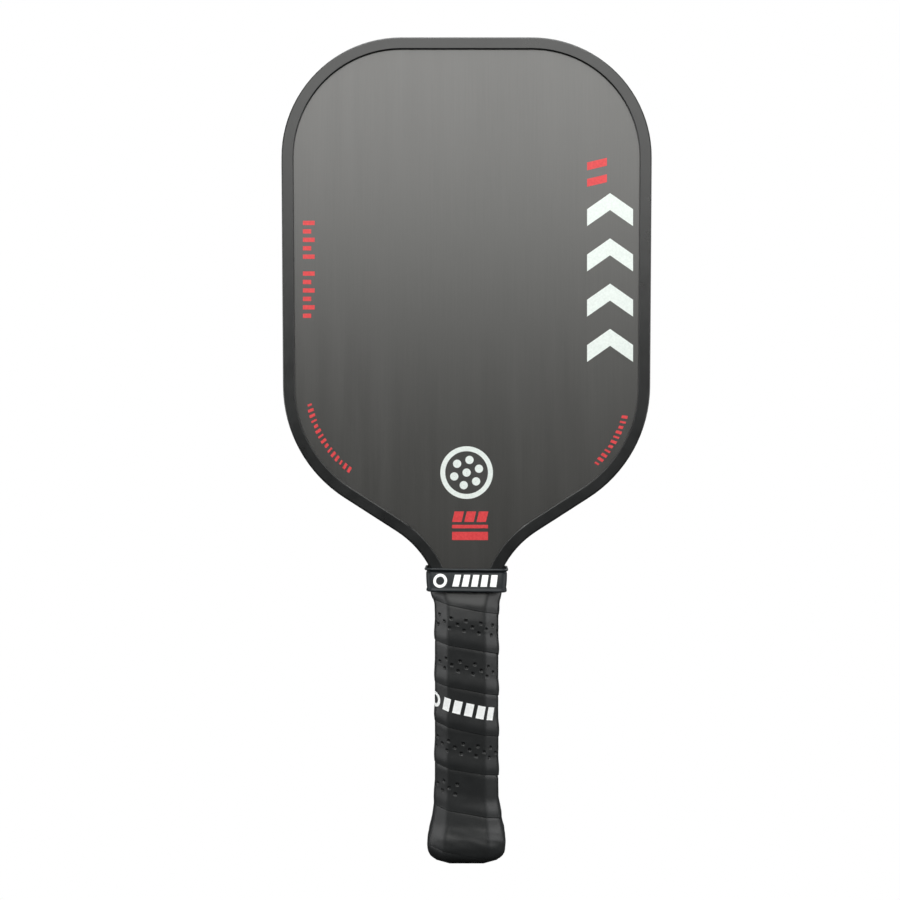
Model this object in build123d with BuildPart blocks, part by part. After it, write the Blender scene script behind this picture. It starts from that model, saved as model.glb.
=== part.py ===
"""Pickleball paddle: a honeycomb panel with carbon faces, an edge guard and a wrapped octagonal handle.

The paddle stands upright on its butt. X is the width, -Y is the front hitting face, +Z runs from
the butt to the tip, and the origin is the centre of the butt's flat end. All sizes are millimetres.
"""

from build123d import *
from math import sqrt
import os

os.makedirs("parts", exist_ok=True)

# Outline of the paddle, measured over the edge guard
PADDLE_LENGTH = 419.1
PADDLE_WIDTH = 188.7
CORNER_RADIUS = 61.0
SIDE_TAPER = 0.4  # degrees each side, narrower towards the throat
SIDE_LENGTH = 116.4
SHOULDER_RADIUS = 68.0
THROAT_ANGLE = 57.3  # degrees between the throat's straight edge and the handle's axis
THROAT_LENGTH = 31.8
NECK_RADIUS = 47.9

# The panel, as half thicknesses out from its middle plane
CORE_HALF = 7.15
FILM_HALF = 7.3
PANEL_HALF = 8.0

# The layers at the panel's edge, as insets from the paddle's outline
GUARD_WALL = 1.3
PANEL_INSET = 1.5
LAMINATE_INSET = 2.0
FOAM_INSET = 8.4
GUARD_LIP = 6.1
GUARD_LIP_THICKNESS = 1.15
GUARD_ROUNDING = 1.0
GUARD_LIP_ROUNDING = 0.5

# The honeycomb's cells
CELL_PITCH = 14.0
CELL_WALL = 0.5
CELL_COLUMNS = 15
CELL_ROWS = 32

# Heights along the handle
CAP_FLOOR = 3.0
TONGUE_BOTTOM = 6.0
TONGUE_TOP = 143.8
CAP_RIM = 30.0
SHELL_WALL_TOP = 124.8
PALLET_TOP = 138.6
GUARD_BOTTOM = 138.8
WRAP_BOTTOM = 0.8
TAPE_BOTTOM = 136.3
COLLAR_BOTTOM = 136.2
COLLAR_TOP = 148.8

# Sections of the octagonal handle, as half sizes in X and Y
HANDLE_HALF_X = 14.8
HANDLE_HALF_Y = 13.3
CHAMFER_X = 0.446  # share of the half width taken by each corner facet
CHAMFER_Y = 0.44
WRAP_THICKNESS = 1.7
TAPE_THICKNESS = 0.15
TAPE_WIDTH = 24.0

# Butt cap: height, half width and half depth of each section of its outside
CAP_SECTIONS = (
    (0.0, 15.4, 13.9),
    (1.6, 17.0, 15.5),
    (4.0, 18.2, 16.7),
    (8.5, 18.7, 17.2),
    (12.5, 18.0, 16.5),
    (19.0, 16.6, 15.1),
    (CAP_RIM, 15.3, 13.8),
)
CAP_STEP = 0.2  # how far the cap's rim still shows through the wrap

# Top end of the handle, where the pallets ramp down to the faces and the throat widens
RAMP_SECTIONS = (
    (SHELL_WALL_TOP, HANDLE_HALF_X, HANDLE_HALF_Y),
    (130.8, 15.0, 12.1),
    (134.6, 16.4, 10.9),
    (PALLET_TOP, 16.9, 9.4),
)

# Collar band: height, half width and half depth of the outside
COLLAR_SECTIONS = (
    (COLLAR_BOTTOM, 20.2, 13.6),
    (142.3, 20.6, 12.4),
    (COLLAR_TOP, 20.9, 11.2),
)
COLLAR_WALL_X = 0.95
COLLAR_WALL_Y = 1.4
COLLAR_CORNER = 3.0
BEAD_HEIGHT = 1.4
BEAD_PROUD = 0.5

# Staples
STAPLE_WIRE = 0.9
STAPLE_CROWN = 9.0
STAPLE_LEG = 3.4
STAPLE_HEIGHT = 21.0
STAPLE_FACE = 14.6

# Bottom of a cutting outline, so that it passes the end of what it cuts
PAST_THE_END = -1.0


def paddle_outline(inset, bottom):
    """The paddle's outline, moved inwards by inset, with its tongue ending at the height bottom."""
    top = PADDLE_LENGTH - inset
    corner_x = PADDLE_WIDTH / 2 - CORNER_RADIUS
    with BuildSketch() as outline:
        with BuildLine():
            tip = Line((0, top), (corner_x, top))
            corner = JernArc(tip @ 1, tip % 1, CORNER_RADIUS - inset, -90 - SIDE_TAPER)
            side = Line(corner @ 1, corner @ 1 + (corner % 1) * SIDE_LENGTH)
            shoulder = JernArc(side @ 1, side % 1, SHOULDER_RADIUS - inset, SIDE_TAPER - THROAT_ANGLE)
            throat = Line(shoulder @ 1, shoulder @ 1 + (shoulder % 1) * THROAT_LENGTH)
            neck = JernArc(throat @ 1, throat % 1, NECK_RADIUS + inset, THROAT_ANGLE)
            tongue = Line(neck @ 1, ((neck @ 1).X, bottom))
            Line(tongue @ 1, (0, bottom))
            mirror(about=Plane.YZ)
        make_face()
    return outline.sketch


def octagon(half_x, half_y):
    """The handle's octagonal section, with the same facet shares at every size."""
    flat_x = half_x * (1 - CHAMFER_X)
    flat_y = half_y * (1 - CHAMFER_Y)
    with BuildSketch() as section:
        with BuildLine():
            Polyline((0, half_y), (flat_x, half_y), (half_x, flat_y), (half_x, 0))
            mirror(about=Plane.XZ)
            mirror(about=Plane.YZ)
        make_face()
    return section.sketch


def octagonal_body(sections, grow=0.0):
    """A ruled octagonal body through sections of height, half width and half depth."""
    with BuildPart() as body:
        for lower, upper in zip(sections, sections[1:]):
            for height, half_x, half_y in (lower, upper):
                with BuildSketch(Plane.XY.offset(height)):
                    add(octagon(half_x + grow, half_y + grow))
            loft(ruled=True)
    return body.part


def finish(part, name):
    part.label = name
    export_step(part, f"parts/{name}.step")


def finish_pair(part, name):
    """Write a piece of the front half, and its mirror image for the back half."""
    finish(part, f"front_{name}")
    finish(part.mirror(Plane.XZ), f"back_{name}")


def panel_layer(inset, inner, outer, bottom=TONGUE_BOTTOM):
    """A flat sheet with the panel's outline, between two distances in front of the middle plane."""
    with BuildPart() as layer:
        with BuildSketch(Plane.XZ.offset(inner)):
            add(paddle_outline(inset, bottom))
        extrude(amount=outer - inner)
    return layer.part


def edge_strip(outer_inset, inner_inset, half_thickness, bottom):
    """A strip that follows the panel's edge round the head, cut off square at the height bottom."""
    with BuildPart() as strip:
        with BuildSketch(Plane.XZ.offset(-half_thickness)):
            add(paddle_outline(outer_inset, 0))
            add(paddle_outline(inner_inset, PAST_THE_END), mode=Mode.SUBTRACT)
            with Locations((0, bottom / 2)):
                Rectangle(PADDLE_WIDTH, bottom, mode=Mode.SUBTRACT)
        extrude(amount=2 * half_thickness)
    return strip.part


# Honeycomb core: whole hexagonal cells that run from face to face, inside a closed rim
cell_radius = (CELL_PITCH - CELL_WALL) / sqrt(3)
cell_room = paddle_outline(FOAM_INSET + CELL_WALL, TONGUE_BOTTOM).face()
cell_corners = [Vector(cell_radius, 0).rotate(Axis.Z, 60 * turn) for turn in range(6)]
cell_centres = []
for spot in HexLocations(CELL_PITCH / 2, CELL_COLUMNS, CELL_ROWS):
    centre = spot.position + Vector(0, PADDLE_LENGTH / 2)
    above_tongue = centre.Y > TONGUE_TOP + CELL_PITCH / 2
    if above_tongue and all(cell_room.is_inside(centre + corner) for corner in cell_corners):
        cell_centres.append(centre)

with BuildPart() as honeycomb_core:
    with BuildSketch(Plane.XZ.offset(-CORE_HALF)):
        add(paddle_outline(FOAM_INSET, 0))
        with Locations((0, TONGUE_TOP / 2)):
            Rectangle(PADDLE_WIDTH, TONGUE_TOP, mode=Mode.SUBTRACT)
        with Locations(*cell_centres):
            RegularPolygon(cell_radius, 6, mode=Mode.SUBTRACT)
    extrude(amount=2 * CORE_HALF)
finish(honeycomb_core.part, "honeycomb_core")

# Tongue core: the solid foam that fills the panel's tongue below the honeycomb
with BuildPart() as tongue_core:
    with BuildSketch(Plane.XZ.offset(-CORE_HALF)):
        add(paddle_outline(LAMINATE_INSET, TONGUE_BOTTOM))
        with Locations((0, TONGUE_TOP + PADDLE_LENGTH / 2)):
            Rectangle(PADDLE_WIDTH, PADDLE_LENGTH, mode=Mode.SUBTRACT)
    extrude(amount=2 * CORE_HALF)
finish(tongue_core.part, "tongue_core")

# The layers of the panel
finish(edge_strip(LAMINATE_INSET, FOAM_INSET, CORE_HALF, TONGUE_TOP), "perimeter_foam")
finish(edge_strip(PANEL_INSET, LAMINATE_INSET, FILM_HALF, TONGUE_BOTTOM), "edge_laminate")
finish_pair(panel_layer(LAMINATE_INSET, CORE_HALF, FILM_HALF), "core_film")
finish_pair(panel_layer(PANEL_INSET, FILM_HALF, PANEL_HALF), "face_sheet")

# Edge guard: a U-shaped channel round the head, rounded along its outer and inner edges
guard_half = PANEL_HALF + GUARD_LIP_THICKNESS
lip_room = paddle_outline(GUARD_LIP - GUARD_ROUNDING, 0).face()
with BuildPart() as edge_guard:
    with BuildSketch(Plane.XZ.offset(-guard_half)):
        add(paddle_outline(0, 0))
    extrude(amount=2 * guard_half)
    fillet(edge_guard.faces().filter_by(Axis.Y).edges(), GUARD_ROUNDING)
    with BuildSketch(Plane.XZ.offset(-guard_half)):
        add(paddle_outline(GUARD_LIP, PAST_THE_END))
    extrude(amount=2 * guard_half, mode=Mode.SUBTRACT)
    with BuildSketch(Plane.XZ.offset(-PANEL_HALF)):
        add(paddle_outline(GUARD_WALL, PAST_THE_END))
    extrude(amount=2 * PANEL_HALF, mode=Mode.SUBTRACT)
    split(bisect_by=Plane.XY.offset(GUARD_BOTTOM), keep=Keep.TOP)
    lip_edges = edge_guard.faces().filter_by(Axis.Y).group_by(Axis.Y)
    lip_edges = lip_edges[0].edges() + lip_edges[-1].edges()
    inner_edges = [
        edge for edge in lip_edges if lip_room.is_inside(Vector((edge @ 0.5).X, (edge @ 0.5).Z))
    ]
    along_lip = [edge for edge in inner_edges if edge.length > 2 * GUARD_LIP]
    fillet(along_lip, GUARD_LIP_ROUNDING)
finish(edge_guard.part, "edge_guard")

# Guard tape: the adhesive strip between the panel's edge and the guard
finish(edge_strip(GUARD_WALL, PANEL_INSET, PANEL_HALF, GUARD_BOTTOM), "guard_tape")

# Staples: one through the butt cap's front facet and one through its back facet
with BuildPart() as staple:
    with BuildSketch(Plane.XY.offset(STAPLE_HEIGHT)):
        with BuildLine():
            Polyline(
                (-STAPLE_CROWN / 2, -STAPLE_FACE + STAPLE_LEG),
                (-STAPLE_CROWN / 2, -STAPLE_FACE),
                (STAPLE_CROWN / 2, -STAPLE_FACE),
                (STAPLE_CROWN / 2, -STAPLE_FACE + STAPLE_LEG),
                (STAPLE_CROWN / 2 - STAPLE_WIRE, -STAPLE_FACE + STAPLE_LEG),
                (STAPLE_CROWN / 2 - STAPLE_WIRE, -STAPLE_FACE + STAPLE_WIRE),
                (-STAPLE_CROWN / 2 + STAPLE_WIRE, -STAPLE_FACE + STAPLE_WIRE),
                (-STAPLE_CROWN / 2 + STAPLE_WIRE, -STAPLE_FACE + STAPLE_LEG),
                close=True,
            )
        make_face()
    extrude(amount=STAPLE_WIRE)
    mirror(about=Plane.XZ)
finish(staple.part, "butt_cap_staples")

# Butt cap: a flared cup over the end of the handle
with BuildPart() as butt_cap:
    add(octagonal_body(CAP_SECTIONS))
    handle_end = ((CAP_FLOOR, HANDLE_HALF_X, HANDLE_HALF_Y), (CAP_RIM, HANDLE_HALF_X, HANDLE_HALF_Y))
    add(octagonal_body(handle_end), mode=Mode.SUBTRACT)
    add(staple.part, mode=Mode.SUBTRACT)
finish(butt_cap.part, "butt_cap")

# Handle pallets: two half shells that turn the flat tongue into an octagonal handle
handle_sections = ((CAP_FLOOR, HANDLE_HALF_X, HANDLE_HALF_Y),) + RAMP_SECTIONS
panel_room = PANEL_HALF + TAPE_THICKNESS
panel_space = panel_layer(PANEL_INSET - TAPE_THICKNESS, -panel_room, panel_room)
with BuildPart() as pallet:
    add(octagonal_body(handle_sections))
    add(panel_space, mode=Mode.SUBTRACT)
    add(staple.part, mode=Mode.SUBTRACT)
    split(bisect_by=Plane.XZ, keep=Keep.TOP)
finish_pair(pallet.part, "handle_pallet")

# Pallet tapes: the adhesive between the tongue's faces and the pallets
with BuildPart() as pallet_tape:
    with BuildSketch(Plane.XZ.offset(PANEL_HALF)):
        with Locations((0, (TONGUE_BOTTOM + SHELL_WALL_TOP) / 2)):
            Rectangle(TAPE_WIDTH, SHELL_WALL_TOP - TONGUE_BOTTOM)
    extrude(amount=TAPE_THICKNESS)
finish_pair(pallet_tape.part, "pallet_tape")

# Grip wrap: the padded sleeve over the butt cap and the pallets
wrap_end = (WRAP_BOTTOM, CAP_SECTIONS[1][1] - WRAP_BOTTOM, CAP_SECTIONS[1][2] - WRAP_BOTTOM)
cap_rim = (CAP_RIM, HANDLE_HALF_X + CAP_STEP, HANDLE_HALF_Y + CAP_STEP)
wrap_outside = (wrap_end,) + CAP_SECTIONS[1:-1] + (cap_rim,)
with BuildPart() as grip_wrap:
    add(octagonal_body(wrap_outside + RAMP_SECTIONS, WRAP_THICKNESS))
    add(octagonal_body(CAP_SECTIONS), mode=Mode.SUBTRACT)
    add(octagonal_body(handle_sections), mode=Mode.SUBTRACT)
    add(panel_space, mode=Mode.SUBTRACT)
finish(grip_wrap.part, "grip_wrap")

# Finishing tape: one turn round the top end of the wrap, under the collar
tape_sections = []
lower, upper = RAMP_SECTIONS[-2:]
for height in (TAPE_BOTTOM, PALLET_TOP):
    share = (height - lower[0]) / (upper[0] - lower[0])
    half_x = lower[1] + (upper[1] - lower[1]) * share
    half_y = lower[2] + (upper[2] - lower[2]) * share
    tape_sections.append((height, half_x, half_y))
with BuildPart() as finishing_tape:
    add(octagonal_body(tape_sections, WRAP_THICKNESS + TAPE_THICKNESS))
    add(octagonal_body(tape_sections, WRAP_THICKNESS), mode=Mode.SUBTRACT)
finish(finishing_tape.part, "finishing_tape")


def collar_body(shrink_x, shrink_y, corner):
    """A body with the collar's rounded sections, made smaller by the two shrink values."""
    with BuildPart() as body:
        for lower, upper in zip(COLLAR_SECTIONS, COLLAR_SECTIONS[1:]):
            for height, half_x, half_y in (lower, upper):
                with BuildSketch(Plane.XY.offset(height)):
                    RectangleRounded(2 * (half_x - shrink_x), 2 * (half_y - shrink_y), corner)
            loft(ruled=True)
    return body.part


# Collar band: a rubber ring with a raised bead along each edge
with BuildPart() as collar_band:
    add(collar_body(0, 0, COLLAR_CORNER))
    for height, half_x, half_y in (COLLAR_SECTIONS[0], COLLAR_SECTIONS[-1]):
        bead_bottom = min(height, COLLAR_TOP - BEAD_HEIGHT)
        with BuildSketch(Plane.XY.offset(bead_bottom)):
            bead_x = 2 * (half_x + BEAD_PROUD)
            bead_y = 2 * (half_y + BEAD_PROUD)
            RectangleRounded(bead_x, bead_y, COLLAR_CORNER + BEAD_PROUD)
        extrude(amount=BEAD_HEIGHT)
    add(collar_body(COLLAR_WALL_X, COLLAR_WALL_Y, COLLAR_CORNER - COLLAR_WALL_X), mode=Mode.SUBTRACT)
finish(collar_band.part, "collar_band")
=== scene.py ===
"""Looks of the pickleball paddle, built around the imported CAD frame. Metres, +Z up, -Y is the front."""

import math

import bpy
import numpy as np
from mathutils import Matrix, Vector, noise


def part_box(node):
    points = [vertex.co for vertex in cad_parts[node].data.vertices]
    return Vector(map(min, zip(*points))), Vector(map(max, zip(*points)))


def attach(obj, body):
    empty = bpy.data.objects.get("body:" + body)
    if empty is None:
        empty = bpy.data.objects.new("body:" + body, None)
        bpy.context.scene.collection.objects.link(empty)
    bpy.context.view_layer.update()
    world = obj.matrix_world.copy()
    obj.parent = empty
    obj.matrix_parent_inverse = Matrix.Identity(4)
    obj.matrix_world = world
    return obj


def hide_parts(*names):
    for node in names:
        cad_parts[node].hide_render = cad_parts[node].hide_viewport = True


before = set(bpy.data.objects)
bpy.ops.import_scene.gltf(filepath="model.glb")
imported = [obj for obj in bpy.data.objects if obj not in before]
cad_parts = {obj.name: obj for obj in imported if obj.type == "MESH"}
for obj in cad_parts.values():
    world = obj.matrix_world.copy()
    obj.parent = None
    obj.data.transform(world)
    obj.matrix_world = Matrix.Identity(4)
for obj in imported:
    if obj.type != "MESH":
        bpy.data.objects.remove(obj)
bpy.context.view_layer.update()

MM = 0.001
TAU = 2 * math.pi

# ---------------------------------------------------------------- sizes shared with the design
HANDLE_HALF = (14.8 * MM, 13.3 * MM)  # the handle under its wrap
FACET_SHARE = (0.446, 0.44)  # share of each half size that a corner facet takes
WRAP_THICKNESS = 1.7 * MM
PITCH = 20.7 * MM  # rise of the wrap in one turn
STRIP_WIDTH = 25.0 * MM
FRONT_SEAM = 4.8 * MM  # height of the lowest seam on the middle of the front

front_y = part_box("front_face_sheet")[0][1]
collar_low, collar_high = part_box("collar_band")
wrap_low, wrap_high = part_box("grip_wrap")


# ---------------------------------------------------------------- materials
def new_material(name):
    """An empty node material: (material, its nodes, its links, its Principled shader)."""
    material = bpy.data.materials.new(name)
    material.use_nodes = True
    nodes = material.node_tree.nodes
    return material, nodes, material.node_tree.links, nodes["Principled BSDF"]


def add_noise(nodes, links, source, scale, detail=4.0, roughness=0.55, stretch=(1, 1, 1)):
    """A noise texture on object coordinates, stretched along each axis; returns its value output."""
    mapping = nodes.new("ShaderNodeMapping")
    mapping.inputs["Scale"].default_value = stretch
    links.new(source, mapping.inputs["Vector"])
    texture = nodes.new("ShaderNodeTexNoise")
    texture.inputs["Scale"].default_value = scale
    texture.inputs["Detail"].default_value = detail
    texture.inputs["Roughness"].default_value = roughness
    links.new(mapping.outputs["Vector"], texture.inputs["Vector"])
    return texture.outputs["Fac"]


def add_ramp(nodes, links, source, stops):
    """A colour ramp from (position, grey or colour) stops."""
    ramp = nodes.new("ShaderNodeValToRGB")
    elements = ramp.color_ramp.elements
    while len(elements) < len(stops):
        elements.new(0.5)
    for element, (position, colour) in zip(elements, stops):
        element.position = position
        if not isinstance(colour, tuple):
            colour = (colour, colour, colour)
        element.color = (*colour, 1.0)
    links.new(source, ramp.inputs["Fac"])
    return ramp.outputs["Color"]


def add_bump(nodes, links, shader, heights):
    """Bumps from (height output, strength, distance) laid on each other, into the shader's normal."""
    normal = None
    for height, strength, distance in heights:
        bump = nodes.new("ShaderNodeBump")
        bump.inputs["Strength"].default_value = strength
        bump.inputs["Distance"].default_value = distance
        links.new(height, bump.inputs["Height"])
        if normal is not None:
            links.new(normal, bump.inputs["Normal"])
        normal = bump.outputs["Normal"]
    links.new(normal, shader.inputs["Normal"])


def object_coordinates(nodes):
    return nodes.new("ShaderNodeTexCoord").outputs["Object"]


def carbon_material():
    """Raw carbon peel-ply: unidirectional fibre streaks, a fine gritty grain and a soft satin sheen."""
    material, nodes, links, shader = new_material("raw_carbon")
    place = object_coordinates(nodes)
    streaks = add_noise(nodes, links, place, 1.0, 5.0, 0.6, (1400, 1, 22))
    broad = add_noise(nodes, links, place, 1.0, 3.0, 0.5, (130, 1, 7))
    grit = add_noise(nodes, links, place, 2600.0, 2.0, 0.7)
    mix = nodes.new("ShaderNodeMix")
    mix.data_type = "RGBA"
    mix.blend_type = "MULTIPLY"
    mix.inputs["Factor"].default_value = 1.0
    fibre_stops = [(0.3, (0.022, 0.022, 0.0205)), (0.7, (0.030, 0.030, 0.0275))]
    links.new(add_ramp(nodes, links, streaks, fibre_stops), mix.inputs["A"])
    links.new(add_ramp(nodes, links, broad, [(0.3, 0.95), (0.7, 1.04)]), mix.inputs["B"])
    links.new(mix.outputs["Result"], shader.inputs["Base Color"])
    links.new(add_ramp(nodes, links, broad, [(0.3, 0.325), (0.7, 0.365)]), shader.inputs["Roughness"])
    shader.inputs["Specular IOR Level"].default_value = 1.0
    add_bump(nodes, links, shader, [(grit, 0.35, 0.00006), (streaks, 0.12, 0.00004)])
    return material


def guard_material():
    """Satin black TPU with the faint marks that moulded edging has."""
    material, nodes, links, shader = new_material("guard_tpu")
    place = object_coordinates(nodes)
    cloud = add_noise(nodes, links, place, 90.0, 4.0)
    grain = add_noise(nodes, links, place, 1900.0, 3.0)
    colours = [(0.3, (0.008, 0.0088, 0.009)), (0.7, (0.012, 0.013, 0.0134))]
    links.new(add_ramp(nodes, links, cloud, colours), shader.inputs["Base Color"])
    links.new(add_ramp(nodes, links, cloud, [(0.25, 0.26), (0.75, 0.34)]), shader.inputs["Roughness"])
    shader.inputs["Specular IOR Level"].default_value = 0.5
    add_bump(nodes, links, shader, [(grain, 0.18, 0.00005), (cloud, 0.1, 0.0003)])
    return material


def wrap_material():
    """Black polyurethane grip: tacky matt skin with a fine pebble and slow colour changes."""
    material, nodes, links, shader = new_material("grip_polyurethane")
    place = object_coordinates(nodes)
    cloud = add_noise(nodes, links, place, 70.0, 4.0)
    pebble = add_noise(nodes, links, place, 1500.0, 3.0, 0.6)
    creases = add_noise(nodes, links, place, 260.0, 5.0, 0.6, (1, 1, 0.6))
    colours = [(0.3, (0.0085, 0.0095, 0.010)), (0.7, (0.013, 0.0142, 0.0148))]
    links.new(add_ramp(nodes, links, cloud, colours), shader.inputs["Base Color"])
    links.new(add_ramp(nodes, links, pebble, [(0.25, 0.38), (0.75, 0.46)]), shader.inputs["Roughness"])
    shader.inputs["Specular IOR Level"].default_value = 0.42
    add_bump(nodes, links, shader, [(pebble, 0.25, 0.00005), (creases, 0.25, 0.00022)])
    return material


def rubber_material():
    """Blue-black silicone rubber of the collar, with dust-light wear and a soft grain."""
    material, nodes, links, shader = new_material("collar_rubber")
    place = object_coordinates(nodes)
    cloud = add_noise(nodes, links, place, 160.0, 5.0)
    grain = add_noise(nodes, links, place, 1700.0, 3.0)
    colours = [(0.3, (0.006, 0.0085, 0.0105)), (0.72, (0.010, 0.0135, 0.016))]
    links.new(add_ramp(nodes, links, cloud, colours), shader.inputs["Base Color"])
    links.new(add_ramp(nodes, links, cloud, [(0.3, 0.4), (0.7, 0.52)]), shader.inputs["Roughness"])
    shader.inputs["Specular IOR Level"].default_value = 0.25
    add_bump(nodes, links, shader, [(grain, 0.2, 0.00005), (cloud, 0.15, 0.0003)])
    return material


def plain_material(name, dark, light, roughness, scale=300.0, metallic=0.0):
    """A lightly mottled material for small and hidden pieces."""
    material, nodes, links, shader = new_material(name)
    cloud = add_noise(nodes, links, object_coordinates(nodes), scale, 4.0)
    links.new(add_ramp(nodes, links, cloud, [(0.3, dark), (0.7, light)]), shader.inputs["Base Color"])
    links.new(add_ramp(nodes, links, cloud, [(0.3, roughness - 0.06), (0.7, roughness + 0.06)]),
              shader.inputs["Roughness"])
    shader.inputs["Metallic"].default_value = metallic
    add_bump(nodes, links, shader, [(cloud, 0.1, 0.0001)])
    return material


carbon = carbon_material()
guard_tpu = guard_material()
grip_polyurethane = wrap_material()
collar_rubber = rubber_material()
cap_plastic = plain_material("cap_plastic", (0.012, 0.012, 0.013), (0.02, 0.02, 0.021), 0.42, 500)
pale_ink = plain_material("pale_ink", (0.66, 0.72, 0.69), (0.76, 0.82, 0.79), 0.5, 900)
white_ink = plain_material("white_ink", (0.8, 0.82, 0.82), (0.9, 0.92, 0.92), 0.5, 900)
red_ink = plain_material("red_ink", (0.56, 0.028, 0.034), (0.68, 0.05, 0.055), 0.5, 900)

CAD_MATERIALS = {
    "front_face_sheet": carbon,
    "back_face_sheet": carbon,
    "edge_guard": guard_tpu,
    "butt_cap": cap_plastic,
    "honeycomb_core": plain_material("polypropylene", (0.62, 0.64, 0.62), (0.74, 0.76, 0.74), 0.4),
    "tongue_core": plain_material("core_foam", (0.6, 0.57, 0.48), (0.72, 0.69, 0.6), 0.85),
    "edge_laminate": plain_material("carbon_strip", (0.02,) * 3, (0.045,) * 3, 0.45, 900),
    "front_core_film": plain_material("resin_film", (0.5, 0.42, 0.2), (0.62, 0.54, 0.3), 0.3),
    "guard_tape": plain_material("acrylic_tape", (0.65, 0.65, 0.6), (0.75, 0.75, 0.7), 0.5),
    "front_handle_pallet": plain_material("pallet_foam", (0.05, 0.05, 0.05), (0.08, 0.08, 0.08), 0.8),
    "butt_cap_staples": plain_material("staple_steel", (0.5,) * 3, (0.62,) * 3, 0.3, 900, 1.0),
    "finishing_tape": plain_material("vinyl_tape", (0.015, 0.015, 0.016), (0.03, 0.03, 0.03), 0.35),
}
CAD_MATERIALS["perimeter_foam"] = CAD_MATERIALS["tongue_core"]
CAD_MATERIALS["back_core_film"] = CAD_MATERIALS["front_core_film"]
CAD_MATERIALS["back_handle_pallet"] = CAD_MATERIALS["front_handle_pallet"]
CAD_MATERIALS["front_pallet_tape"] = CAD_MATERIALS["guard_tape"]
CAD_MATERIALS["back_pallet_tape"] = CAD_MATERIALS["guard_tape"]
for node, material in CAD_MATERIALS.items():
    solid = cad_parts[node]
    for material_slot in solid.material_slots:
        material_slot.material = material


# ---------------------------------------------------------------- making pieces
def make_piece(name, vertices, faces, material, smooth=True):
    """A mesh piece that rides on the paddle."""
    mesh = bpy.data.meshes.new(name)
    mesh.from_pydata([tuple(v) for v in vertices], [], faces)
    mesh.validate()
    mesh.materials.append(material)
    mesh.polygons.foreach_set("use_smooth", [smooth] * len(mesh.polygons))
    piece = bpy.data.objects.new(name, mesh)
    bpy.context.scene.collection.objects.link(piece)
    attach(piece, "root")
    return piece


def wobble(point, size, seed=0.0):
    """Smooth noise from -1 to 1, with features about size metres across."""
    return noise.noise(Vector(point) / size + Vector((seed, seed * 1.7, seed * 0.6)))


# ---------------------------------------------------------------- the handle's surface
CORNER_ROUNDING = 5.5 * MM
SAMPLES_ON_ARC = 12


def rounded_octagon():
    """The straight handle's outline over its wrap: positions, outward normals and running length.

    It starts at the middle of the front and goes towards -X, so that the wrap climbs along it.
    """
    half_x = HANDLE_HALF[0] + WRAP_THICKNESS
    half_y = HANDLE_HALF[1] + WRAP_THICKNESS
    flat_x = half_x * (1 - FACET_SHARE[0])
    flat_y = half_y * (1 - FACET_SHARE[1])
    corners = [Vector((-flat_x, -half_y)), Vector((-half_x, -flat_y)),
               Vector((-half_x, flat_y)), Vector((-flat_x, half_y))]
    corners += [Vector((-c.x, c.y)) for c in reversed(corners)]
    points, normals = [Vector((0, -half_y))], [Vector((0, -1))]
    for before, corner, after in zip([corners[-1], *corners], corners, [*corners[1:], corners[0]]):
        incoming = (corner - before).normalized()
        outgoing = (after - corner).normalized()
        turn = incoming.angle(outgoing)
        reach = CORNER_ROUNDING * math.tan(turn / 2)
        start_normal = Vector((incoming.y, -incoming.x))
        if start_normal.dot(corner) < 0:
            start_normal.negate()
        centre = corner - incoming * reach - start_normal * CORNER_ROUNDING
        for step in range(SAMPLES_ON_ARC + 1):
            share = step / SAMPLES_ON_ARC
            end_normal = Vector((outgoing.y, -outgoing.x))
            if end_normal.dot(corner) < 0:
                end_normal.negate()
            normal = start_normal.slerp(end_normal, share)
            points.append(centre + normal * CORNER_ROUNDING)
            normals.append(normal)
    points.append(points[0])
    normals.append(normals[0])
    length = np.concatenate([[0.0], np.cumsum([(b - a).length for a, b in zip(points, points[1:])])])
    return np.array(points), np.array(normals), length


outline_points, outline_normals, outline_length = rounded_octagon()
PERIMETER = outline_length[-1]

# Half width and half depth of the surface under the wrap, by height
SECTIONS = np.array([
    (0.0, 15.4, 13.9),
    (1.6, 17.0, 15.5),
    (4.0, 18.2, 16.7),
    (8.5, 18.7, 17.2),
    (12.5, 18.2, 16.7),
    (19.0, 16.6, 15.1),
    (30.0, 15.0, 13.5),
    (40.0, 14.8, 13.3),
    (122.8, 14.8, 13.3),
    (130.8, 15.0, 12.1),
    (134.6, 16.4, 10.9),
    (138.6, 16.9, 9.4),
]) * MM
SMOOTHING = 1.2 * MM


def section_at(z):
    """Half width and half depth under the wrap at a height, with the steps between sections smoothed."""
    offsets = np.linspace(-1.5, 1.5, 7) * SMOOTHING
    weights = np.exp(-np.linspace(-1.5, 1.5, 7) ** 2)
    heights = np.clip(np.add.outer(np.asarray(z, float), offsets), SECTIONS[0, 0], SECTIONS[-1, 0])
    halves = [np.interp(heights, SECTIONS[:, 0], SECTIONS[:, column]) for column in (1, 2)]
    return [(half * weights).sum(-1) / weights.sum() for half in halves]


def handle_point(p, z, off):
    """The point at running length p round the handle and height z, off metres out from the surface
    under the wrap."""
    p = np.mod(p, PERIMETER)
    x, y, nx, ny = (
        np.interp(p, outline_length, column)
        for column in (*outline_points.T, *outline_normals.T)
    )
    half_x, half_y = section_at(z)
    wide_x = HANDLE_HALF[0] + WRAP_THICKNESS
    wide_y = HANDLE_HALF[1] + WRAP_THICKNESS
    return np.stack([
        x * (half_x + WRAP_THICKNESS) / wide_x + nx * (off - WRAP_THICKNESS),
        y * (half_y + WRAP_THICKNESS) / wide_y + ny * (off - WRAP_THICKNESS),
        z + 0 * x,
    ], -1)


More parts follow.
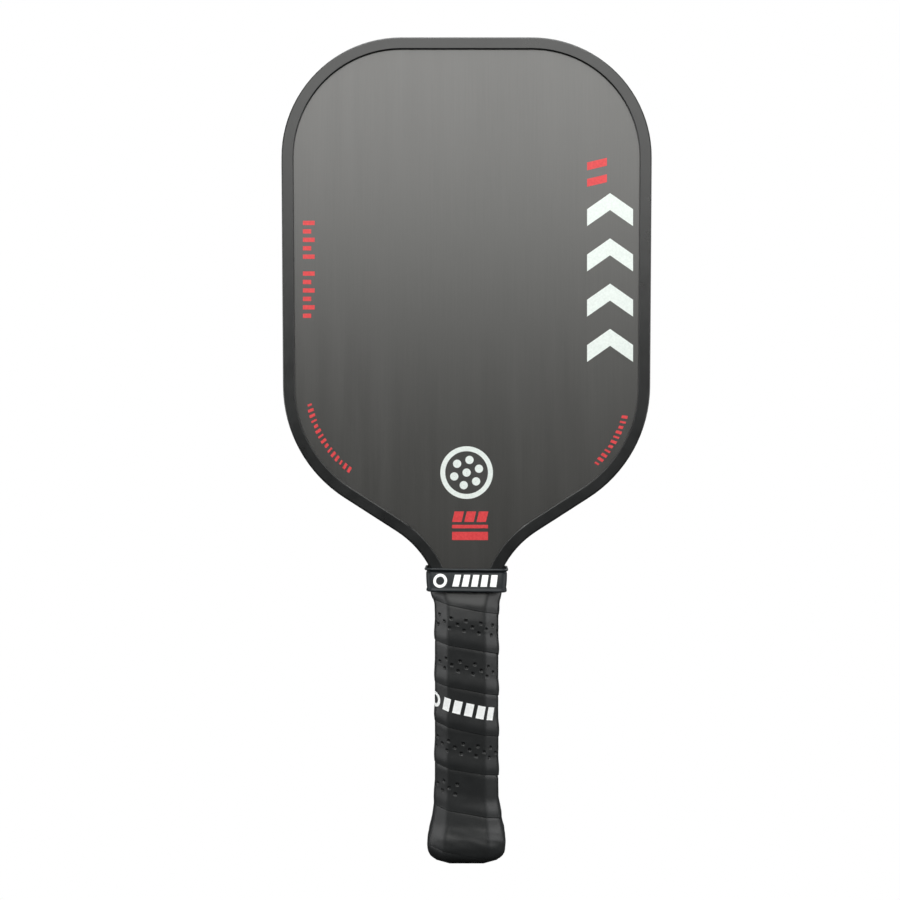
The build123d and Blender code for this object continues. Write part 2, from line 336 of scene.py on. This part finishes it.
# ---------------------------------------------------------------- grip wrap
WRAP_BOTTOM = wrap_low[2]
WRAP_TOP = wrap_high[2] - 0.5 * MM
HOLE_STEP = 0.3743 * MM  # the mesh's step along the strip where it has holes
ROW_STEP = 0.42 * MM
HOLE_EVERY = 20  # steps between the holes of one row
HOLE_ROWS = 6  # steps between two rows of holes
HOLE_MIDDLE = 11.4 * MM  # the middle row, up from the strip's lower edge
HOLE_RADIUS = 0.8 * MM
HOLE_DEPTH = 0.95 * MM
EDGE_THICKNESS = 0.24 * MM  # a turn's lower edge, over the turn below it
EDGE_ROLL = 0.35 * MM
RIDGE_UP = 3.0 * MM  # where the strip crosses the hidden upper edge of the turn below
RIDGE_HEIGHT = 0.44 * MM
RIDGE_FALL = 7.0 * MM
STRETCH_THINNING = 0.25 * MM  # how much thinner the strip gets when it is pulled tight
TUCK = 0.55 * MM  # how deep the strip's upper edge dips under the next turn
TUCK_WIDTH = 1.5 * MM
END_HEIGHT = 4.7 * MM  # the strip thins out over this height, down to its end at the butt
END_THINNING = 1.4 * MM


def seam_height(p):
    """Height of the strip's lower edge, where p counts the way wound, from the lowest front seam."""
    angle = p / PERIMETER * TAU
    uneven = 0.35 * MM * np.sin(angle * 0.61 + 0.8) + 0.22 * MM * np.sin(angle * 2.3)
    return FRONT_SEAM + PITCH * p / PERIMETER + uneven


def strip_offset(p, t, z):
    """How far the strip's outer skin stands out, t up from its lower edge.

    The strip climbs over the turn below it: a thin edge, a slope up to a ridge, and a long fall.
    The first turn, on the butt, has nothing to climb over.
    """
    over = np.clip((p / PERIMETER - 0.55) / 0.2, 0, 1)
    base = WRAP_THICKNESS - STRETCH_THINNING
    edge = EDGE_THICKNESS * np.sqrt(np.clip(1 - (1 - np.minimum(t / EDGE_ROLL, 1)) ** 2, 0, 1))
    climb = np.clip(t / RIDGE_UP, 0, 1)
    fall = np.clip((t - RIDGE_UP) / RIDGE_FALL, 0, 1)
    ridge = (RIDGE_HEIGHT - EDGE_THICKNESS) * climb * climb * (3 - 2 * climb)
    kept = 1 - fall * fall * (3 - 2 * fall)
    tucked = TUCK * np.clip((t - PITCH) / TUCK_WIDTH, 0, 1)
    end = np.clip((z - WRAP_BOTTOM) / END_HEIGHT, 0, 1)
    thinning = (1 - np.sqrt(1 - (1 - end) ** 2)) * END_THINNING
    return base + (edge + ridge) * kept * over - tucked - thinning


def add_softness(points):
    """Moves the skin a little in and out, more at the butt, where it is wrinkled."""
    moved = points.copy()
    for i, point in enumerate(points):
        height = point[2]
        outward = Vector((point[0], point[1], 0)).normalized()
        soft = 0.09 * MM * wobble(point, 14 * MM) + 0.05 * MM * wobble(point, 4 * MM, 3.1)
        butt = max(0.0, 1 - abs(height - 11 * MM) / (9 * MM))
        folds = wobble((point[0] * 0.35, point[1] * 0.35, height + 0.22 * point[0]), 3.4 * MM, 7.7)
        soft += 0.34 * MM * butt * folds
        moved[i] = point + np.array(outward) * soft
    return moved


def wrap_skin(p, t, extra=0.0):
    """Points of the strip's outer skin: p along the way wound, t up from its edge, extra out."""
    p, t, extra = (np.ravel(values) for values in np.broadcast_arrays(p, t, extra))
    z = np.clip(seam_height(p) + t, WRAP_BOTTOM, WRAP_TOP)
    return add_softness(handle_point(p, z, strip_offset(p, t, z) + extra))


def has_holes(p, z):
    """Whether the strip has holes here: not on the butt, the printed turn or under the collar."""
    turn = p / PERIMETER
    return 1.04 < turn < 5.62 and not 2.62 < turn < 3.42 and z < 132.8 * MM


def build_wrap():
    """The padded strip, wound from the butt to the collar as one closed ribbon."""
    first = -1.3 * PERIMETER
    last = (WRAP_TOP - FRONT_SEAM) / PITCH * PERIMETER
    start_of_holes = 0.979 * PERIMETER
    coarse = 4 * HOLE_STEP
    plain_columns = np.arange(first, start_of_holes - coarse / 2, coarse)
    fine_start = len(plain_columns)
    columns = np.concatenate([plain_columns, np.arange(start_of_holes, last, HOLE_STEP)])

    lower = np.array([0.0, 0.08, 0.2, 0.4, 0.7, 1.2, 2.0, 3.0, 4.2, 5.4, 6.6, 7.4]) * MM
    middle = HOLE_MIDDLE + np.arange(-HOLE_ROWS - 3, HOLE_ROWS + 4) * ROW_STEP
    upper = np.linspace(middle[-1] + 1.1 * MM, STRIP_WIDTH, 8)
    rows = np.concatenate([lower, middle, upper])
    first_middle = len(lower)

    p, t = np.meshgrid(columns, rows, indexing="ij")
    extra = np.zeros_like(p)

    # Each hole: the two rings of mesh round it become circles, and the inner one drops in
    for c in range(fine_start + 3, len(columns) - 3):
        along = c - fine_start
        if along % (HOLE_EVERY // 2):
            continue
        odd = (along // (HOLE_EVERY // 2)) % 2
        for row in ((0,) if odd else (-HOLE_ROWS, HOLE_ROWS)):
            r = first_middle + HOLE_ROWS + 3 + row
            if not has_holes(columns[c], float(seam_height(columns[c])) + rows[r]):
                continue
            centre_p, centre_t = columns[c], rows[r]
            for dc in range(-2, 3):
                for dr in range(-2, 3):
                    ring = max(abs(dc), abs(dr))
                    if ring == 0:
                        extra[c, r] = -HOLE_DEPTH
                        continue
                    radius = HOLE_RADIUS if ring == 2 else HOLE_RADIUS * 0.86
                    stretch = radius / math.hypot(dc, dr)
                    p[c + dc, r + dr] = centre_p + dc * stretch
                    t[c + dc, r + dr] = centre_t + dr * stretch
                    extra[c + dc, r + dr] = -HOLE_DEPTH * 0.9 if ring == 1 else 0.04 * MM

    # The rows of holes stand square to the strip, which slopes
    p = p + (HOLE_MIDDLE - t) * PITCH / PERIMETER * np.clip(t / (3 * MM), 0, 1)
    skin = wrap_skin(p, t, extra).reshape(*p.shape, 3)

    # The hidden underside, which closes the ribbon
    under_rows = np.array([STRIP_WIDTH - 1 * MM, STRIP_WIDTH / 2, 1.0 * MM])
    up, ut = np.meshgrid(columns, under_rows, indexing="ij")
    uz = np.clip(seam_height(up) + ut, WRAP_BOTTOM, WRAP_TOP)
    under = handle_point(up.ravel(), uz.ravel(), 0.12 * MM).reshape(*up.shape, 3)

    grid = np.concatenate([skin, under], axis=1)
    count, around = grid.shape[:2]
    faces = []
    for c in range(count - 1):
        for r in range(around):
            n = (r + 1) % around
            faces.append((c * around + r, c * around + n, (c + 1) * around + n, (c + 1) * around + r))
    faces.append(tuple(range(around))[::-1])
    faces.append(tuple((count - 1) * around + r for r in range(around)))
    flat = grid.reshape(-1, 3)

    def has_area(face):
        a, b, c, *rest = (flat[i] for i in face)
        d = rest[0] if rest else c
        return np.linalg.norm(np.cross(c - a, d - b)) > 1e-11

    faces = [face for face in faces if len(face) > 4 or has_area(face)]
    wrap = make_piece("grip_wrap_strip", flat, faces, grip_polyurethane)
    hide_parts("grip_wrap")


build_wrap()


# ---------------------------------------------------------------- collar band
COLLAR_COLUMNS = 260
COLLAR_CORNER = 3.6 * MM
COLLAR_BOTTOM_HALF = (20.1 * MM, 13.6 * MM)
COLLAR_TOP_HALF = (20.8 * MM, 11.2 * MM)
COLLAR_LIFT = 0.7 * MM  # how far the lower edge has crept up
COLLAR_SLOPE = 0.012  # the band sits slightly askew, lower towards +X
# Outside of the band from bottom to top: share of the height, distance out from the web in millimetres
COLLAR_PROFILE = (
    (0.000, -0.75), (0.004, -0.25), (0.020, 0.12), (0.050, 0.30), (0.085, 0.30), (0.115, 0.12),
    (0.14, -0.08), (0.18, -0.1), (0.30, 0.0), (0.42, 0.05), (0.54, 0.05), (0.66, 0.0), (0.78, -0.08),
    (0.82, -0.22), (0.852, -0.70), (0.866, -0.76), (0.880, -0.6),
    (0.892, 0.1), (0.91, 0.42), (0.94, 0.55), (0.97, 0.5), (0.99, 0.25), (1.0, -0.2), (0.998, -0.75),
)
COLLAR_INSIDE = ((0.97, -1.15), (0.6, -1.15), (0.3, -1.15), (0.03, -1.15))


def rectangle_point(half_x, half_y, radius, fraction):
    """Point and normal at a fraction of the way round, from the middle of the front."""
    straight_x, straight_y = half_x - radius, half_y - radius
    arc = radius * math.pi / 2
    front_half, side, back = straight_x, 2 * straight_y, 2 * straight_x
    lengths = [front_half, arc, side, arc, back, arc, side, arc, front_half]
    left = (fraction % 1) * sum(lengths)
    stretch = 0
    while left > lengths[stretch]:
        left -= lengths[stretch]
        stretch += 1
    quarter = stretch // 2
    if stretch % 2:
        angle = (quarter + left / arc) * math.pi / 2
        corner = ((-1, -1), (-1, 1), (1, 1), (1, -1))[quarter]
        centre = (corner[0] * straight_x, corner[1] * straight_y)
    else:
        angle = quarter * math.pi / 2
        centre = (
            (-left, -straight_y),
            (-straight_x, -straight_y + left),
            (-straight_x + left, straight_y),
            (straight_x, straight_y - left),
            (straight_x - left, -straight_y),
        )[quarter]
    normal = (-math.sin(angle), -math.cos(angle))
    return centre[0] + normal[0] * radius, centre[1] + normal[1] * radius, *normal


def collar_point(fraction, share, out):
    """A point of the band: fraction of the way round it, share of its height, out from its web."""
    half_x, half_y = (
        low + (high - low) * share for low, high in zip(COLLAR_BOTTOM_HALF, COLLAR_TOP_HALF)
    )
    x, y, normal_x, normal_y = rectangle_point(half_x, half_y, COLLAR_CORNER, fraction)
    height = collar_high[2] - collar_low[2] - COLLAR_LIFT
    z = collar_low[2] + COLLAR_LIFT + height * share
    lip = max(0.0, (share - 0.86) / 0.14)
    out += 0.16 * MM * wobble((x, y, z), 9 * MM, 1.3) + 0.3 * MM * lip * wobble((x, y, 0), 5 * MM, 5.9)
    z += 0.28 * MM * wobble((x, y, 0), 11 * MM, 2.2) * (share - 0.3) - COLLAR_SLOPE * x
    return x + normal_x * out, y + normal_y * out, z


def build_collar():
    """The rubber band: a raised lip along each edge and a groove under the top one."""
    profile = COLLAR_PROFILE + COLLAR_INSIDE
    around = len(profile)
    vertices = []
    faces = []
    for column in range(COLLAR_COLUMNS):
        after = (column + 1) % COLLAR_COLUMNS
        for row, (share, out) in enumerate(profile):
            above = (row + 1) % around
            vertices.append(collar_point(column / COLLAR_COLUMNS, share, out * MM))
            faces.append((column * around + row, column * around + above,
                          after * around + above, after * around + row))
    collar = make_piece("collar_band_rubber", vertices, faces, collar_rubber)
    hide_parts("collar_band")


build_collar()


# ---------------------------------------------------------------- printed marks
INK = 0.05 * MM  # how far the ink stands out
SUNK = 0.05 * MM  # how far it reaches into the surface
PRINTED_TURN = 3
COLLAR_ROUND = 125.4 * MM  # the distance once round the collar


def lay_ink(name, patches, place, material, columns=1, rows=1):
    """Thin closed patches of ink. Each has four corners in the surface's own two coordinates, and
    place(u, v, out) puts a point on the surface."""
    vertices, faces = [], []
    for corners in patches:
        first = len(vertices)
        layer = (columns + 1) * (rows + 1)
        low_left, low_right, high_right, high_left = (np.array(corner, float) for corner in corners)
        for out in (-SUNK, INK):
            for i in range(columns + 1):
                for j in range(rows + 1):
                    low = low_left + (low_right - low_left) * i / columns
                    high = high_left + (high_right - high_left) * i / columns
                    u, v = low + (high - low) * j / rows
                    vertices.append(place(u, v, out))
        for i in range(columns):
            for j in range(rows):
                a = first + i * (rows + 1) + j
                b = a + rows + 1
                faces.append((a, a + 1, b + 1, b))
                faces.append((a + layer, b + layer, b + layer + 1, a + layer + 1))
        border = [i * (rows + 1) for i in range(columns + 1)]
        border += [columns * (rows + 1) + j for j in range(1, rows + 1)]
        border += [i * (rows + 1) + rows for i in reversed(range(columns))]
        border += list(reversed(range(1, rows)))
        for here, there in zip(border, border[1:] + border[:1]):
            here, there = first + here, first + there
            faces.append((here, there, there + layer, here + layer))
    make_piece(name, vertices, faces, material, smooth=False)


def slanted(left, right, low, high, slant=0.0):
    """Corners of a block whose top is moved sideways by slant."""
    return (left, low), (right, low), (right + slant, high), (left + slant, high)


def round_place(place, centre_u, centre_v):
    """A place function in polar coordinates round a centre: angle and radius."""
    return lambda angle, radius, out: place(
        centre_u + radius * math.cos(angle), centre_v + radius * math.sin(angle), out)


def face_place(u, v, out):
    """u is X and v is the height, on the front face."""
    return u, front_y - out, v


def collar_place(u, v, out):
    """u is the distance from the middle of the front, towards +X; v is the share of the height."""
    web = np.interp(v, *zip(*COLLAR_PROFILE[:-1])) * MM
    return collar_point(-u / COLLAR_ROUND, v, web + out)


def grip_place(u, v, out):
    """u is the distance towards +X along the printed turn; v is the height above its lower edge."""
    return tuple(wrap_skin(PRINTED_TURN * PERIMETER - u, v, out + 0.02 * MM)[0])


def build_chevrons():
    """A column of pale chevrons at the right, with two small red bars above it."""
    left, right, low, high, count = 61.4 * MM, 84.8 * MM, 253.8 * MM, 339.8 * MM, 4
    middle, point, stroke = (left + right) / 2, 8.2 * MM, 8.6 * MM
    step = (high - low - point - stroke) / (count - 1)
    chevrons = []
    for i in range(count):
        base = low + i * step
        peak = base + point
        chevrons.append(((left, base), (middle, peak), (middle, peak + stroke), (left, base + stroke)))
        chevrons.append(((middle, peak), (right, base), (right, base + stroke), (middle, peak + stroke)))
    lay_ink("print_chevrons", chevrons, face_place, pale_ink)

    bar_end, rise, thick = 71.5 * MM, 2.4 * MM, 4 * MM
    bars = []
    for i in range(2):
        base = 343.0 * MM + i * 8.4 * MM
        risen = base + rise
        bars.append(((left, base), (bar_end, risen), (bar_end, risen + thick), (left, base + thick)))
    lay_ink("print_red_bars", bars, face_place, red_ink)


def build_scale():
    """A column of red ticks at the left, in two groups, with every other one longer."""
    left, long_end, short_end, bottom = -83.4 * MM, -77.4 * MM, -79.2 * MM, 276.2 * MM
    step, thick, count, gap = 4.3 * MM, 2.2 * MM, 12, 6
    ticks = []
    for i in range(count):
        if i != gap:
            low = bottom + i * step
            ticks.append(slanted(left, long_end if i % 2 else short_end, low, low + thick))
    lay_ink("print_red_scale", ticks, face_place, red_ink)


def build_shoulder_dashes(name, centre_x, radius, start, end, count):
    """A curved row of red dashes along a shoulder, between two angles in degrees."""
    around = round_place(face_place, centre_x, 242.0 * MM)
    dashes = []
    for i in range(count):
        angle = math.radians(start + (end - start) * (i + 0.5) / count)
        wide = 0.0135 if i % 3 else 0.009
        tall = 1.5 * MM if i % 4 else 1.1 * MM
        dashes.append(slanted(angle - wide, angle + wide, radius - tall, radius + tall, 0.008))
    lay_ink(name, dashes, around, red_ink)


def build_ball():
    """A pale ball with round spots, above the throat."""
    centre_x, centre_z = 0.0, 197.4 * MM
    place = round_place(face_place, centre_x, centre_z)
    rim = [slanted(0, TAU, 10.9 * MM, 13.4 * MM)]
    lay_ink("print_ball_rim", rim, place, pale_ink, columns=72)
    spot_circle = 6.6 * MM
    spots = [(0.0, 0.0)]
    for angle in np.arange(6) * TAU / 6 + 0.3:
        spots.append((spot_circle * math.cos(angle), spot_circle * math.sin(angle)))
    for i, (x, z) in enumerate(spots):
        place = round_place(face_place, centre_x + x, centre_z + z)
        disc = [slanted(0, TAU, 0.1 * MM, 2.1 * MM)]
        lay_ink(f"print_ball_spot_{i}", disc, place, pale_ink, columns=28)


def build_stripes():
    """Red blocks over a thin and a thick stripe, at the throat."""
    left, right = -7.4 * MM, 10.9 * MM
    stripes = []
    for i in range(3):
        start = left + i * 6.2 * MM
        stripes.append(slanted(start, start + 4.8 * MM, 172.2 * MM, 177.6 * MM, 1.3 * MM))
    stripes.append(slanted(left, right, 169.0 * MM, 170.8 * MM))
    stripes.append(slanted(left, right, 163.0 * MM, 167.2 * MM))
    lay_ink("print_red_stripes", stripes, face_place, red_ink)


def slanted_bars(start, step, width, low, high, slant):
    """Corners of five equal bars in a row."""
    bars = []
    for i in range(5):
        left = start + i * step
        bars.append(slanted(left, left + width, low, high, slant))
    return bars


def build_collar_marks():
    """White bars and a ring on the front of the collar."""
    bars = slanted_bars(-7.2 * MM, 4.7 * MM, 3.2 * MM, 0.24, 0.74, 1.2 * MM)
    lay_ink("print_collar_bars", bars, collar_place, white_ink, columns=2, rows=4)
    height = collar_high[2] - collar_low[2] - COLLAR_LIFT

    def place(angle, radius, out):
        share = 0.475 + radius * math.sin(angle) / height
        return collar_place(-13.4 * MM + radius * math.cos(angle), share, out)

    ring = [slanted(0, TAU, 2.1 * MM, 3.5 * MM)]
    lay_ink("print_collar_ring", ring, place, white_ink, columns=48)


def build_grip_marks():
    """White bars and a ring along one turn of the grip."""
    bars = slanted_bars(-13.2 * MM, 5.9 * MM, 4.0 * MM, 8.0 * MM, 14.6 * MM, 1.4 * MM)
    lay_ink("print_grip_bars", bars, grip_place, white_ink, columns=6, rows=8)
    place = round_place(grip_place, -18.6 * MM, 11.4 * MM)
    ring = [slanted(0, TAU, 2.2 * MM, 3.8 * MM)]
    lay_ink("print_grip_ring", ring, place, white_ink, columns=48, rows=2)


build_chevrons()
build_scale()
build_shoulder_dashes("print_red_dashes_left", -26.4 * MM, 54.5 * MM, 189, 233.5, 15)
build_shoulder_dashes("print_red_dashes_right", 26.4 * MM, 56.5 * MM, -46.6, -15.6, 11)
build_ball()
build_stripes()
build_collar_marks()
build_grip_marks()


# ---------------------------------------------------------------- stage, lights and camera
def build_stage():
    """A floor that curves up into a backdrop: white to look at, and dim in what it lights."""
    white, nodes, links, shader = new_material("studio_white")
    shader.inputs["Base Color"].default_value = (0.04, 0.04, 0.04, 1)
    shader.inputs["Roughness"].default_value = 0.9
    shader.inputs["Specular IOR Level"].default_value = 0.1
    glow = nodes.new("ShaderNodeEmission")
    glow.inputs["Color"].default_value = (1, 1, 1, 1)
    seen = nodes.new("ShaderNodeMixShader")
    links.new(nodes.new("ShaderNodeLightPath").outputs["Is Camera Ray"], seen.inputs["Fac"])
    links.new(shader.outputs["BSDF"], seen.inputs[1])
    links.new(glow.outputs["Emission"], seen.inputs[2])
    links.new(seen.outputs["Shader"], nodes["Material Output"].inputs["Surface"])
    half_width, front, back, radius, height = 4.0, -3.0, 1.2, 0.8, 4.0
    profile = [(front, 0.0), (back, 0.0)]
    for step in range(1, 25):
        angle = step / 24 * math.pi / 2
        profile.append((back + radius * math.sin(angle), radius * (1 - math.cos(angle))))
    profile.append((back + radius, height))
    vertices = [(side * half_width, y, z) for y, z in profile for side in (-1, 1)]
    faces = [(2 * i, 2 * i + 1, 2 * i + 3, 2 * i + 2) for i in range(len(profile) - 1)]
    mesh = bpy.data.meshes.new("studio")
    mesh.from_pydata(vertices, [], faces)
    mesh.polygons.foreach_set("use_smooth", [True] * len(mesh.polygons))
    mesh.materials.append(white)
    studio = bpy.data.objects.new("studio", mesh)
    bpy.context.scene.collection.objects.link(studio)


def add_area_light(name, place, target, size, power, colour=(1, 1, 1)):
    data = bpy.data.lights.new(name, "AREA")
    data.shape = "RECTANGLE"
    data.size, data.size_y = size
    data.energy = power
    data.color = colour
    lamp = bpy.data.objects.new(name, data)
    lamp.location = place
    lamp.rotation_euler = (Vector(target) - Vector(place)).to_track_quat("-Z", "Y").to_euler()
    lamp.visible_camera = False
    bpy.context.scene.collection.objects.link(lamp)


def build_lights():
    world = bpy.data.worlds.new("studio_world")
    world.use_nodes = True
    nodes, links = world.node_tree.nodes, world.node_tree.links
    background = nodes["Background"]
    background.inputs["Color"].default_value = (1, 1, 1, 1)
    brightness = nodes.new("ShaderNodeMapRange")
    brightness.inputs["To Min"].default_value = 0.02
    brightness.inputs["To Max"].default_value = 1.0
    links.new(nodes.new("ShaderNodeLightPath").outputs["Is Camera Ray"], brightness.inputs["Value"])
    links.new(brightness.outputs["Result"], background.inputs["Strength"])
    bpy.context.scene.world = world
    add_area_light("key_front", (0.0, -1.6, 1.24), (0, 0, 1.06), (2.6, 1.36), 41, (1.0, 0.995, 0.97))
    add_area_light("key_back", (0.0, 1.1, 1.1), (0, 0, 0.3), (2.2, 1.1), 22)
    add_area_light("top", (0.0, -0.25, 1.2), (0, 0, 0.2), (1.0, 0.5), 13)
    add_area_light("side_left", (-1.0, -0.15, 0.15), (0, 0, 0.12), (0.8, 0.9), 7.5)
    add_area_light("side_right", (1.0, -0.15, 0.15), (0, 0, 0.12), (0.8, 0.9), 7.5)


def build_camera():
    """Square to the front face, a little above the middle of the paddle."""
    data = bpy.data.cameras.new("camera")
    data.sensor_width = 36.0
    data.lens = 54.32
    data.shift_x = -0.01844
    camera = bpy.data.objects.new("camera", data)
    camera.location = (0.0, -0.700, 0.2089)
    camera.rotation_euler = (math.pi / 2, 0, 0)
    bpy.context.scene.collection.objects.link(camera)
    bpy.context.scene.camera = camera


build_stage()
build_lights()
build_camera()
bpy.context.scene.view_settings.view_transform = "Standard"
